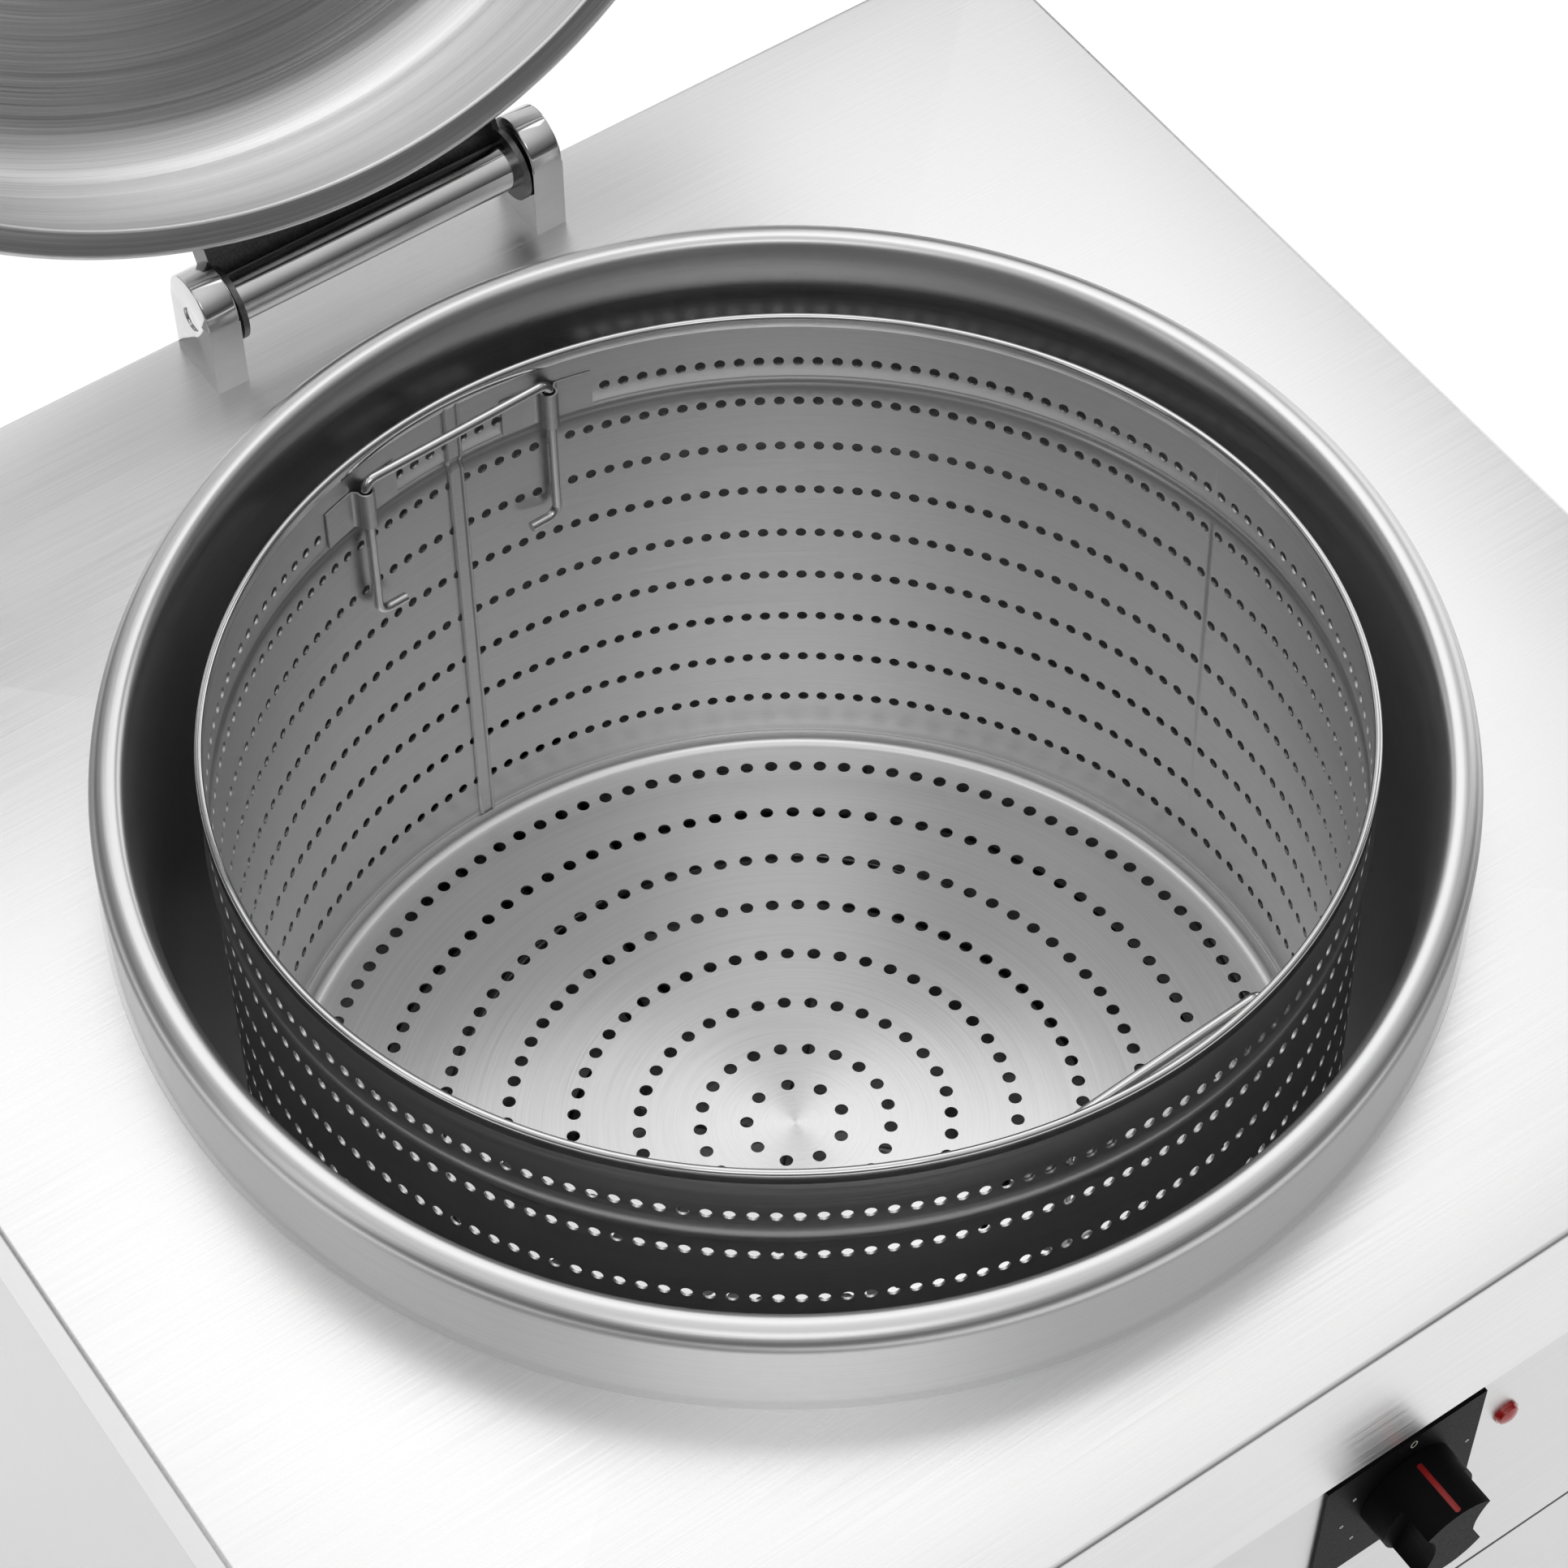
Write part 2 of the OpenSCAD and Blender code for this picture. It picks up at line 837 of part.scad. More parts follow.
// Two ears on the hinge axis, arms that reach the lid's wall, and a web between the arms.
module lid_bracket() {
    reach = 52;
    color("darkgray")
        at_lid()
            difference() {
                union() {
                    for (s = [-1, 1])
                        mirror_about_hinge(s)
                            translate([hinge_x + ear_off - ear_t / 2, hinge_y, hinge_ax]) {
                                rotate([0, 90, 0])
                                    cylinder(r = ear_r, h = ear_t, $fn = 64);
                                translate([0, -reach, 1])
                                    cube([ear_t, reach, ear_r - 1]);
                            }
                    span([hinge_x - ear_off, hinge_y - reach, hinge_ax + 11],
                        [hinge_x + ear_off, hinge_y - 4, hinge_ax + 14]);
                    span([hinge_x - ear_off, hinge_y - 6, hinge_ax + 5],
                        [hinge_x + ear_off, hinge_y - 3, hinge_ax + 14]);
                }
                bar_x(hinge_x - 100, hinge_x + 100, hinge_y, hinge_ax, pin_d + 0.1);
                bar_x(hinge_x - ear_off + ear_t / 2, hinge_x + ear_off - ear_t / 2,
                    hinge_y, hinge_ax, tube_d);
                lid_envelope();
            }
}

// ---- lid ----

// Sheet outline of the inner pan: rolled edge, lip, skirt, round corner and flat top.
module lid_inner_outline() {
    cx = dish_r - dish_corner;
    cz = lid_dish - dish_corner;
    translate([dish_r, 0])
        square([lid_r - bead_r - dish_r, lid_t]);
    translate([dish_r, 0])
        square([lid_t, cz]);
    translate([cx, cz])
        intersection() {
            difference() {
                circle(r = dish_corner + lid_t, $fn = fine);
                circle(r = dish_corner, $fn = fine);
            }
            square(dish_corner + 2 * lid_t);
        }
    translate([0, lid_dish])
        square([cx, lid_t]);
    translate([lid_r - bead_r, bead_r])
        difference() {
            circle(r = bead_r, $fn = small);
            circle(r = bead_r - lid_t, $fn = small);
        }
}

module lid_inner() {
    color("gainsboro")
        at_lid()
            translate([lid_x, lid_y, lid_zz])
                rotate_extrude($fn = fine)
                    lid_inner_outline();
}

module lid_outer_outline() {
    r = cover_corner;
    translate([cover_r - lid_t, lid_t])
        square([lid_t, cover_h - r - lid_t]);
    translate([cover_r - r, cover_h - r])
        intersection() {
            difference() {
                circle(r = r, $fn = 64);
                circle(r = r - lid_t, $fn = 64);
            }
            square(r);
        }
    translate([0, cover_h - lid_t])
        square([cover_r - r, lid_t]);
}

module lid_outer() {
    color("silver")
        at_lid()
            translate([lid_x, lid_y, lid_zz])
                rotate_extrude($fn = fine)
                    lid_outer_outline();
}

module lid_insulation() {
    z0 = lid_dish + lid_t + 0.3;
    color("khaki")
        at_lid()
            translate([lid_x, lid_y, lid_zz + z0])
                cylinder(r = dish_r - dish_corner - 4, h = cover_h - lid_t - 0.3 - z0, $fn = fine);
}

module lid_handle() {
    y = lid_y - cover_r;
    z = lid_zz + 50;
    color("gainsboro")
        at_lid()
            difference() {
                union() {
                    bar_x(lid_x - 110, lid_x + 110, y - 34, z, 18);
                    for (s = [-1, 1]) {
                        translate([lid_x + s * 110, y - 34, z])
                            sphere(d = 18, $fn = small);
                        bar_y(y - 34, y + 30, lid_x + s * 110, z, 14);
                    }
                }
                lid_envelope();
            }
}

// ---- basket ----

module basket_wall() {
    color("lightgray")
        at_basket()
            translate([0, 0, -basket_h])
                rotate_extrude($fn = fine)
                    difference() {
                        union() {
                            translate([basket_r - 1.5, 1.5])
                                square([1.5, basket_h - 4.2]);
                            translate([basket_r - 1.2, basket_h - 42])
                                circle(r = 2.2, $fn = small);
                        }
                        translate([basket_r - 5, basket_h - 43])
                            square([3.5, 2]);
                    }
}

// Rings of the floor's perforation: radius, then how many holes.
floor_rings = [for (k = [0:7]) [24 + 30.9 * k, round(2 * PI * (24 + 30.9 * k) / 13.4)]];

module basket_floor() {
    color("lightgray")
        at_basket()
            translate([0, 0, -basket_h]) {
                linear_extrude(height = 1.5)
                    difference() {
                        circle(r = basket_r - 1.7, $fn = fine);
                        for (ring = floor_rings)
                            if (ring[0] < 100)
                                for (k = [0:ring[1] - 1])
                                    rotate(k * 360 / ring[1])
                                        translate([ring[0], 0])
                                            circle(d = 7, $fn = 16);
                    }
            }
}

module basket_rim() {
    color("white")
        at_basket()
            rotate_extrude($fn = fine)
                difference() {
                    translate([basket_r - 0.8, 0])
                        circle(r = 2.6, $fn = small);
                    translate([basket_r - 1.5, -4])
                        square([1.5, 3.7 - 2.2]);
                }
}

module basket_seam() {
    color("darkgray")
        at_basket()
            translate([0, 0, 1.8 - basket_h])
                rotate([0, 0, 89.2])
                    rotate_extrude(angle = 2.2, $fn = fine)
                        translate([basket_r - 2.7, 0])
                            square([1.2, basket_h - 46]);
}

// Sleeves with flat spot-welded wings that guide the legs of the handles.
module handle_clips() {
    color("silver")
        at_basket()
            for (t = [0, 180], s = [-1, 1])
                rotate([0, 0, t])
                    translate([s * sleeve_dx, bail_y, -37]) {
                        difference() {
                            cylinder(d = wire_d + 2.6, h = sleeve_h, $fn = small);
                            translate([0, 0, -eps])
                                cylinder(d = wire_d + 0.6, h = sleeve_h + 2 * eps, $fn = small);
                        }
                        rotate([0, 0, -s * 12])
                            for (w = [-1, 1])
                                translate([w > 0 ? 3 : -27, 2.6, 0])
                                    cube([24, 1, sleeve_h]);
                    }
}

// A wire bail: bar, two legs and two hooks that point towards each other.
module bail() {
    r = bail_bend;
    z = -11;
    translate([-sleeve_dx + r, bail_y, z])
        rotate([0, 90, 0])
            cylinder(d = wire_d, h = 2 * (sleeve_dx - r), $fn = small);
    for (s = [-1, 1])
        mirror([s > 0 ? 0 : 1, 0, 0]) {
            translate([sleeve_dx - r, bail_y, z - r])
                rotate([90, 0, 0])
                    rotate_extrude(angle = 90, $fn = 48)
                        translate([r, 0])
                            circle(d = wire_d, $fn = small);
            translate([sleeve_dx, bail_y, z - leg_len])
                cylinder(d = wire_d, h = leg_len - r, $fn = small);
            translate([sleeve_dx - r, bail_y, z - leg_len])
                rotate([90, 0, 0])
                    rotate_extrude(angle = -90, $fn = 48)
                        translate([r, 0])
                            circle(d = wire_d, $fn = small);
            translate([sleeve_dx - r - 10, bail_y, z - leg_len - r])
                rotate([0, 90, 0])
                    cylinder(d = wire_d, h = 10, $fn = small);
        }
}

module rear_handle() {
    color("white")
        at_basket()
            bail();
}

module front_handle() {
    color("white")
        at_basket()
            rotate([0, 0, 180])
                bail();
}

// ---- assembly ----

worktop();
well();
well_base();
well_insulation();
well_jacket();
heating_elements();
element_neck();
element_flange();
element_cover();
support_grid();
drain_strainer();
drain_pipe();
drain_valve();
valve_lever();
lever_nut();
drain_outlet();
left_side_panel();
right_side_panel();
rear_panel();
cabinet_floor();
front_frame();
control_panel();
control_plate();
control_knob();
knob_shaft();
thermostat();
thermostat_bulb();
pilot_lens();
pilot_lamp();
equipment_plate();
limit_thermostat();
reset_button();
contactor();
terminal_block();
cable_gland();
left_door();
right_door();
left_door_handle();
right_door_handle();
door_brackets();
door_pins();
door_magnets();
plinth();
left_hinge_block();
right_hinge_block();
hinge_pins();
hinge_bolts();
hinge_tube();
lid_bracket();
lid_inner();
lid_outer();
lid_insulation();
lid_handle();
basket_wall();
basket_floor();
basket_rim();
basket_seam();
handle_clips();
rear_handle();
front_handle();
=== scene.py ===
"""Looks of a floor-standing round-well deep fryer. Metres, +Z up, the control side faces -Y."""

import math

import bmesh
import bpy
from mathutils import Matrix, Vector, geometry
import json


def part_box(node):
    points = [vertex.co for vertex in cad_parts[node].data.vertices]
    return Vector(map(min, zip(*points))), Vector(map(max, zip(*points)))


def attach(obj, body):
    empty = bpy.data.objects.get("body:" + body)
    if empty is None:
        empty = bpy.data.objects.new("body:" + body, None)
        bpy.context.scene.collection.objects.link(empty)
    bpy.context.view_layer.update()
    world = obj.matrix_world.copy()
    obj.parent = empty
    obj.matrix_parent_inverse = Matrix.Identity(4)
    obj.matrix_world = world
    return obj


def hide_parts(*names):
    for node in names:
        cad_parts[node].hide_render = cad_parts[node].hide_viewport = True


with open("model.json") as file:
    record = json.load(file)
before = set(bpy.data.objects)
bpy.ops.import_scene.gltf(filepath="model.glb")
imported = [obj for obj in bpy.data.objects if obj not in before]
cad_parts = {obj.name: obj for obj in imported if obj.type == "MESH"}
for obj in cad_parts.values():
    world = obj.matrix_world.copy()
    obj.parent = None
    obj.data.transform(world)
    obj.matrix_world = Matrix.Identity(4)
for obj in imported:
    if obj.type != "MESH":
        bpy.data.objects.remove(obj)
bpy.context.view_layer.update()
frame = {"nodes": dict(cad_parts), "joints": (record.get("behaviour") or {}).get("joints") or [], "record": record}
NODES = frame["nodes"]
JOINTS = {j["name"]: j for j in frame["joints"]}
MM = 0.001
TAU = 2 * math.pi


# ---- places, all taken from the frame ----

def corner(node):
    """Lowest and highest corner of a CAD node at rest."""
    lo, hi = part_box(node)
    return Vector(lo), Vector(hi)


TOP_LO, TOP_HI = corner("worktop")
TOP_Z = TOP_HI.z
WELL_LO, WELL_HI = corner("well")
WELL = (WELL_LO + WELL_HI) / 2
WELL.z = TOP_Z

HINGE = Vector(JOINTS["lid_hinge"]["pos_m"])
LID_OPEN = -math.radians(JOINTS["lid_hinge"]["range_deg"][0])
LID_CENTRE = Vector((0.015, WELL.y + 0.007, TOP_Z + 0.013))
LID_R = 0.340
LID_DISH = 0.077
SWING = Matrix.Translation(HINGE) @ Matrix.Rotation(-LID_OPEN, 4, "X") @ Matrix.Translation(-HINGE)
LID = SWING @ Matrix.Translation(LID_CENTRE)

BASKET_R = 0.261
BASKET_H = 0.298
BASKET_LEAN = math.radians(6)
BASKET_ROLL = math.radians(3.2)
BASKET_TURN = math.radians(4.5)
RIM_LO, RIM_HI = corner("basket_rim")
BASKET = (
    Matrix.Translation((RIM_LO + RIM_HI) / 2)
    @ Matrix.Rotation(-BASKET_LEAN, 4, "X")
    @ Matrix.Rotation(BASKET_ROLL, 4, "Y")
    @ Matrix.Rotation(BASKET_TURN, 4, "Z")
)

KNOB_LO, KNOB_HI = corner("control_knob")
KNOB = (KNOB_LO + KNOB_HI) / 2
PLATE_LO, PLATE_HI = corner("control_plate")


# ---- camera ----

def make_camera():
    data = bpy.data.cameras.new("camera")
    data.sensor_width = 36
    data.lens = 100.7
    data.clip_end = 50
    camera = bpy.data.objects.new("camera", data)
    camera.location = (-0.6602, -0.9588, 2.4517)
    camera.rotation_euler = (math.radians(35.98), 0, math.radians(-34.85))
    bpy.context.scene.collection.objects.link(camera)
    bpy.context.scene.camera = camera


# ---- node helpers ----

class Graph:
    """A short way to write a material's nodes."""

    def __init__(self, name):
        self.material = bpy.data.materials.new(name)
        self.material.use_nodes = True
        self.tree = self.material.node_tree
        self.shader = self.tree.nodes["Principled BSDF"]

    def node(self, kind, **values):
        made = self.tree.nodes.new(kind)
        for key, value in values.items():
            if hasattr(made, key):
                setattr(made, key, value)
            else:
                made.inputs[key].default_value = value
        return made

    def link(self, start, end):
        self.tree.links.new(start, end)

    def maths(self, operation, first, second):
        made = self.node("ShaderNodeMath", operation=operation)
        for socket, value in zip(made.inputs, (first, second)):
            if isinstance(value, (int, float)):
                socket.default_value = value
            else:
                self.link(value, socket)
        return made.outputs[0]

    def coordinates(self):
        return self.node("ShaderNodeTexCoord").outputs["Object"]

    def noise(self, vector, scale, detail=3.0, rough=0.55):
        made = self.node("ShaderNodeTexNoise")
        made.inputs["Scale"].default_value = scale
        made.inputs["Detail"].default_value = detail
        made.inputs["Roughness"].default_value = rough
        self.link(vector, made.inputs["Vector"])
        return made.outputs["Fac"]

    def spread(self, value, low, high, start=0.3, end=0.7):
        made = self.node("ShaderNodeMapRange")
        for name, number in (("From Min", start), ("From Max", end), ("To Min", low), ("To Max", high)):
            made.inputs[name].default_value = number
        self.link(value, made.inputs["Value"])
        return made.outputs["Result"]

    def set(self, **values):
        for name, value in values.items():
            self.shader.inputs[name.replace("_", " ")].default_value = value

    def bump(self, height, strength, distance):
        made = self.node("ShaderNodeBump")
        made.inputs["Strength"].default_value = strength
        made.inputs["Distance"].default_value = distance
        self.link(height, made.inputs["Height"])
        self.link(made.outputs["Normal"], self.shader.inputs["Normal"])

    def tone(self, factor, dark, light):
        made = self.node("ShaderNodeMix", data_type="RGBA")
        made.inputs["A"].default_value = (*dark, 1)
        made.inputs["B"].default_value = (*light, 1)
        self.link(factor, made.inputs["Factor"])
        self.link(made.outputs["Result"], self.shader.inputs["Base Color"])


def grey(value, warm=0.0):
    return (value * (1 + warm), value, value * (1 - warm))


def straight_grain(graph, along):
    """Coordinates that stretch a noise into fine parallel lines."""
    scale = [900.0] * 3
    scale["XYZ".index(along)] = 9.0
    made = graph.node("ShaderNodeMapping")
    made.inputs["Scale"].default_value = scale
    graph.link(graph.coordinates(), made.inputs["Vector"])
    return made.outputs["Vector"]


def turned_grain(graph, place, fine=900.0):
    """Coordinates that stretch a noise into fine rings about an axis."""
    back = place.inverted()
    made = graph.node("ShaderNodeMapping")
    made.inputs["Location"].default_value = back.translation
    made.inputs["Rotation"].default_value = back.to_euler()
    graph.link(graph.coordinates(), made.inputs["Vector"])
    parts = graph.node("ShaderNodeSeparateXYZ")
    graph.link(made.outputs["Vector"], parts.inputs[0])
    x, y, z = parts.outputs
    squares = graph.maths("ADD", graph.maths("MULTIPLY", x, x), graph.maths("MULTIPLY", y, y))
    radius = graph.maths("SQRT", squares, 0.0)
    safe = graph.maths("MAXIMUM", radius, 1e-4)
    joined = graph.node("ShaderNodeCombineXYZ")
    graph.link(graph.maths("MULTIPLY", graph.maths("SUBTRACT", radius, z), fine), joined.inputs[0])
    graph.link(graph.maths("MULTIPLY", graph.maths("DIVIDE", x, safe), 1.6), joined.inputs[1])
    graph.link(graph.maths("MULTIPLY", graph.maths("DIVIDE", y, safe), 1.6), joined.inputs[2])
    return joined.outputs[0]


def steel(name, value, rough=(0.24, 0.40), grain="X", place=None, depth=0.15, warm=0.0, spread=0.06, spun=0.0):
    """Brushed steel: grain lines in tone, roughness and height, over soft cloudy variation.

    A place turns the grain into rings about its Z axis. Spun steel also stretches its highlights."""
    graph = Graph(name)
    lines = turned_grain(graph, place) if place else straight_grain(graph, grain)
    fine = graph.noise(lines, 1.0, 4.0)
    if spun:
        tangent = graph.node("ShaderNodeTangent", direction_type="RADIAL", axis="Z")
        graph.link(tangent.outputs[0], graph.shader.inputs["Tangent"])
        graph.set(Anisotropic=spun)
    cloud = graph.noise(graph.coordinates(), 5.0, 2.0)
    both = graph.maths("ADD", graph.maths("MULTIPLY", fine, 0.65), graph.maths("MULTIPLY", cloud, 0.35))
    graph.set(Metallic=1.0)
    graph.tone(graph.spread(both, 0, 1), grey(value - spread, warm), grey(value + spread, warm))
    graph.link(graph.spread(both, *rough), graph.shader.inputs["Roughness"])
    graph.bump(fine, depth, 0.0002)
    return graph.material


def chrome(name, value=0.86, rough=0.06):
    graph = Graph(name)
    smear = graph.noise(graph.coordinates(), 60.0, 3.0)
    graph.set(Metallic=1.0)
    graph.tone(graph.spread(smear, 0, 1), grey(value - 0.03), grey(value + 0.02))
    graph.link(graph.spread(smear, rough, rough * 2.2), graph.shader.inputs["Roughness"])
    graph.bump(graph.noise(graph.coordinates(), 9.0, 2.0), 0.05, 0.001)
    return graph.material


def plastic(name, colour, rough=0.4, grain=1400.0, depth=0.12, coat=0.0, specular=0.5):
    graph = Graph(name)
    skin = graph.noise(graph.coordinates(), grain, 3.0)
    graph.set(IOR=1.49, Coat_Weight=coat, Coat_Roughness=0.08, Specular_IOR_Level=specular)
    dark = tuple(c * 0.86 for c in colour)
    graph.tone(graph.spread(graph.noise(graph.coordinates(), 18.0), 0, 1), dark, colour)
    graph.link(graph.spread(skin, rough * 0.85, rough * 1.2), graph.shader.inputs["Roughness"])
    graph.bump(skin, depth, 0.0002)
    return graph.material


def wool(name):
    graph = Graph(name)
    fibres = graph.noise(graph.coordinates(), 260.0, 6.0, 0.7)
    graph.set(Roughness=0.95)
    graph.tone(graph.spread(fibres, 0, 1), (0.42, 0.33, 0.13), (0.72, 0.62, 0.34))
    graph.bump(fibres, 0.8, 0.003)
    return graph.material


SKINS = {
    "worktop_steel": steel("worktop steel", 0.80, (0.26, 0.42), "X"),
    "panel_steel": steel("panel steel", 0.70, (0.28, 0.44), "X"),
    "inner_steel": steel("inner steel", 0.60, (0.24, 0.38), place=Matrix.Translation(WELL), spun=0.6),
    "lid_steel": steel("lid steel", 0.60, (0.28, 0.44), place=LID, depth=0.2),
    "basket_steel": steel("basket steel", 0.70, (0.30, 0.46), place=BASKET),
    "bright_chrome": chrome("bright chrome", 0.66),
    "dark_steel": steel("dark steel", 0.16, (0.30, 0.45), "Y"),
    "black_plastic": plastic("black plastic", (0.006, 0.006, 0.007), 0.48, specular=0.07),
    "red_lens": plastic("red lens", (0.50, 0.012, 0.010), 0.12, grain=120.0, depth=0.02, coat=0.8),
    "red_plastic": plastic("red plastic", (0.42, 0.02, 0.02), 0.4),
    "light_plastic": plastic("light plastic", (0.78, 0.75, 0.66), 0.45),
    "mineral_wool": wool("mineral wool"),
    "copper": steel("copper", 0.5, (0.2, 0.35), "Z", warm=0.35),
    "dark_plastic": plastic("dark plastic", (0.05, 0.05, 0.055), 0.45),
}
HERE = Matrix.Identity(4)
WELL_SPUN = steel("spun well steel", 0.72, (0.28, 0.40), place=HERE, spun=0.2)
# The lid's spun steel is painted paler than the lid slot's steel. This is painted light standing in for the light on
# its dish.
LID_SPUN_PAINTED_LIGHT = steel("spun lid steel with painted light", 0.80, (0.26, 0.42), place=HERE, depth=0.35, spread=0.16, spun=0.75)
# The basket floor's spun steel is painted far paler than the drum's. This is painted light on the upward-facing floor.
BASE_SPUN_PAINTED_LIGHT = steel("spun basket steel with painted light", 0.92, (0.28, 0.42), place=HERE, depth=0.2, spread=0.08, spun=0.7)
DRUM_STEEL = steel("drum steel", 0.62, (0.30, 0.46), place=HERE, spread=0.05)


def dress_cad():
    """Gives each CAD node the material of its slot."""
    slots = {s["node"]: s["material_slot"] for s in frame["record"]["subparts"]}
    for name, node in NODES.items():
        node.data.materials.clear()
        node.data.materials.append(SKINS[slots[name]])


# ---- mesh helpers ----

WELD = 2e-5


def finish_piece(name, mesh, body, slot, replaced=(), place=None, angle=35, skin=None):
    """Makes an object of a mesh, in its place and on its body."""
    mesh.polygons.foreach_set("use_smooth", [True] * len(mesh.polygons))
    mesh.set_sharp_from_angle(angle=math.radians(angle))
    piece = bpy.data.objects.new(name, mesh)
    bpy.context.scene.collection.objects.link(piece)
    mesh.materials.append(skin or SKINS[slot])
    if place:
        piece.matrix_world = place
    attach(piece, body)
    if replaced:
        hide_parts(*replaced)
    return piece


def arc(cx, cz, radius, start, end, steps):
    """Points of an arc in a profile, angles in degrees."""
    turn = [math.radians(start + (end - start) * k / steps) for k in range(steps + 1)]
    return [(cx + radius * math.cos(a), cz + radius * math.sin(a)) for a in turn]


def lathe(name, outline, segments=256):
    """A closed outline of (radius, height) points, turned about Z. Points on the axis become poles."""
    bm = bmesh.new()
    rings = []
    for radius, height in outline:
        if radius < 1e-6:
            rings.append([bm.verts.new((0, 0, height))])
            continue
        rings.append([
            bm.verts.new((radius * math.cos(TAU * k / segments), radius * math.sin(TAU * k / segments), height))
            for k in range(segments)
        ])
    for low, high in zip(rings, rings[1:] + rings[:1]):
        if len(low) == 1 and len(high) == 1:
            continue
        for k in range(segments):
            n = (k + 1) % segments
            loop = [low[k % len(low)], low[n % len(low)], high[n % len(high)], high[k % len(high)]]
            bm.faces.new(list(dict.fromkeys(loop)))
    bmesh.ops.recalc_face_normals(bm, faces=bm.faces)
    mesh = bpy.data.meshes.new(name)
    bm.to_mesh(mesh)
    bm.free()
    return mesh


def perforated(outline, holes, lines=()):
    """Triangulates a flat outline, leaves its holes open, and keeps the given lines as edges."""
    points, edges, owner = [], [], []
    for group, loop in enumerate([outline, *holes]):
        first, count = len(points), len(loop)
        points += loop
        owner += [group] * count
        edges += [(first + k, first + (k + 1) % count) for k in range(count)]
    for line in lines:
        first = len(points)
        points += line
        owner += [-1] * len(line)
        edges += [(first + k, first + k + 1) for k in range(len(line) - 1)]
    flat, _, faces, sources, _, _ = geometry.delaunay_2d_cdt([Vector(p) for p in points], edges, [], 1, 1e-6)
    group = [{owner[k] for k in source} for source in sources]

    def in_hole(face):
        shared = set.intersection(*(group[k] for k in face))
        return any(number > 0 for number in shared)

    return flat, [list(face) for face in faces if not in_hole(face)]


def hole(x, y, radius, sides=12):
    return [(x + radius * math.cos(TAU * k / sides), y + radius * math.sin(TAU * k / sides)) for k in range(sides)]


def sheet_mesh(name, front, back, faces):
    """A sheet of two matching surfaces, closed by rims along its open edges. Points that meet are joined."""
    known, order = {}, []
    for k, point in enumerate(front):
        key = tuple(round(c / WELD) for c in point)
        order.append(known.setdefault(key, k))
    bm = bmesh.new()
    outer = {k: bm.verts.new(front[k]) for k in sorted(set(order))}
    inner = {k: bm.verts.new(back[k]) for k in outer}
    twin = {outer[k]: inner[k] for k in outer}
    for face in faces:
        loop = list(dict.fromkeys(order[k] for k in face))
        if len(loop) > 2:
            bm.faces.new([outer[k] for k in loop])
            bm.faces.new([inner[k] for k in reversed(loop)])
    for edge in [e for e in bm.edges if len(e.link_faces) == 1 and e.verts[0] in twin]:
        a, b = edge.verts
        bm.faces.new([a, b, twin[b], twin[a]])
    bmesh.ops.recalc_face_normals(bm, faces=bm.faces)
    mesh = bpy.data.meshes.new(name)
    bm.to_mesh(mesh)
    bm.free()
    return mesh


def swept_sheet(name, path, thickness, place_point, heights):
    """A strip whose section follows a path, drawn out along the given heights."""
    sides = []
    for k, (u, v) in enumerate(path):
        before, after = path[max(k - 1, 0)], path[min(k + 1, len(path) - 1)]
        du, dv = after[0] - before[0], after[1] - before[1]
        length = math.hypot(du, dv)
        offset = thickness / 2 / length
        sides.append(((u - dv * offset, v + du * offset), (u + dv * offset, v - du * offset)))
    loop = [side[0] for side in sides] + [side[1] for side in reversed(sides)]
    bm = bmesh.new()
    rings = [[bm.verts.new(place_point(u, v, z)) for u, v in loop] for z in heights]
    count = len(path)
    for low, high in zip(rings, rings[1:]):
        for k in range(len(loop)):
            n = (k + 1) % len(loop)
            bm.faces.new([low[k], low[n], high[n], high[k]])
    for ring in (rings[0], rings[-1]):
        for k in range(count - 1):
            bm.faces.new([ring[k], ring[k + 1], ring[-k - 2], ring[-k - 1]])
    bmesh.ops.recalc_face_normals(bm, faces=bm.faces)
    mesh = bpy.data.meshes.new(name)
    bm.to_mesh(mesh)
    bm.free()
    return mesh


def modified(name, mesh, steps):
    """The mesh after a list of modifiers, each given as a type and its settings."""
    holder = bpy.data.objects.new(name, mesh)
    bpy.context.scene.collection.objects.link(holder)
    for kind, values in steps:
        added = holder.modifiers.new(kind, kind)
        for key, value in values.items():
            setattr(added, key, value)
    done = holder.evaluated_get(bpy.context.evaluated_depsgraph_get())
    result = bpy.data.meshes.new_from_object(done)
    bpy.data.objects.remove(holder)
    return result


# ---- basket ----

WALL_ROWS = [0.028, 0.054] + [0.084 + 0.0299 * k for k in range(7)]
WALL_HOLES = 170
WALL_HOLE_R = 0.00275
WALL_BEAD = 0.041
BEAD_HALF = 0.004
BEAD_PROUD = 0.0018
SHEET = 0.0012


def wall_radius(z):
    """Outer radius of the drum at a height, with the bead's bulge."""
    bulge = max(0.0, 1 - abs(z + WALL_BEAD) / BEAD_HALF)
    return BASKET_R + BEAD_PROUD * math.sin(bulge * math.pi / 2)


def around(turn, radius, z):
    return (radius * math.cos(turn), radius * math.sin(turn), z)


